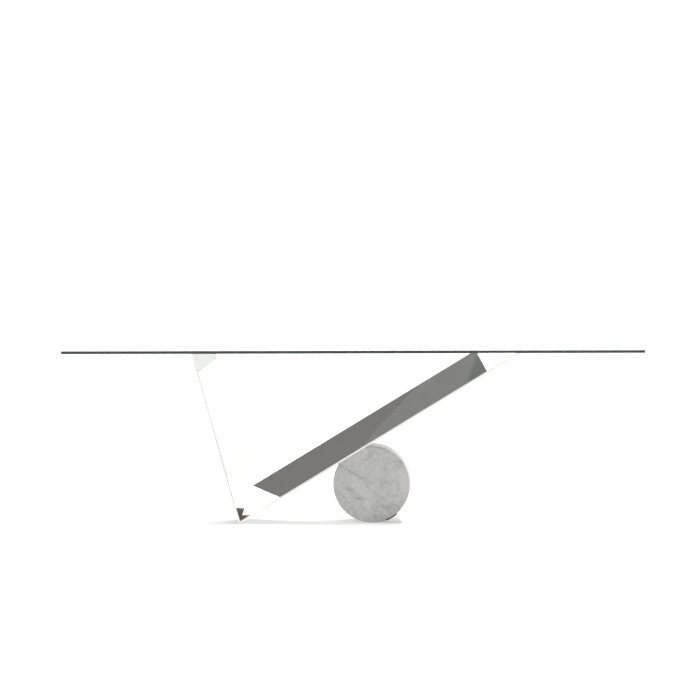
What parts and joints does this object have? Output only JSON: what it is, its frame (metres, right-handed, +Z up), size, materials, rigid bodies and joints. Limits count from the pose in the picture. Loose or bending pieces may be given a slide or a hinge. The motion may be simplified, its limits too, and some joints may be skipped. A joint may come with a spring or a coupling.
{
  "type": "console table",
  "caption": "Long narrow console table: a clear glass top on a lopsided V of mirror-polished steel, carried at the long leg by a marble wheel and a small steel chock.",
  "frame": {"origin": "on the floor, below the middle of the glass top", "axes": "+X to the right along the length of the glass, +Y to the back, +Z up; the polished sloping faces of the legs face -Y"},
  "size_m": [2.5, 0.4, 0.76],
  "materials": {
    "clear_glass": "clear float glass with polished edges",
    "mirror_steel": "mirror-polished stainless steel",
    "plain_steel": "mill finish, hidden inside the legs",
    "clear_bond": "clear adhesive layer",
    "white_marble": "honed pale grey marble with soft grey veins",
    "black_rubber": "matt",
    "bright_fasteners": "bright zinc-plated steel"
  },
  "bodies": {
    "root": {"glass_top": "clear_glass", "short_leg_shell": "mirror_steel", "short_leg_back_plate": "mirror_steel", "short_leg_top_cap": "plain_steel", "short_leg_bond_pad": "clear_bond", "short_leg_rib_1": "plain_steel", "short_leg_rib_2": "plain_steel", "long_leg_shell": "mirror_steel", "long_leg_back_plate": "mirror_steel", "long_leg_top_cap": "plain_steel", "long_leg_bond_pad": "clear_bond", "long_leg_rib_1": "plain_steel", "long_leg_rib_2": "plain_steel", "long_leg_rib_3": "plain_steel", "mitre_gusset": "plain_steel", "wheel": "white_marble", "wheel_seat_gasket": "black_rubber", "wheel_saddle_plate": "plain_steel", "wheel_stud_1": "bright_fasteners", "wheel_stud_2": "bright_fasteners", "wheel_washer_1": "bright_fasteners", "wheel_washer_2": "bright_fasteners", "wheel_nut_1": "bright_fasteners", "wheel_nut_2": "bright_fasteners", "chock_body": "mirror_steel", "chock_face_pad": "black_rubber", "chock_dowel_1": "bright_fasteners", "chock_dowel_2": "bright_fasteners"}
  },
  "joints": []
}
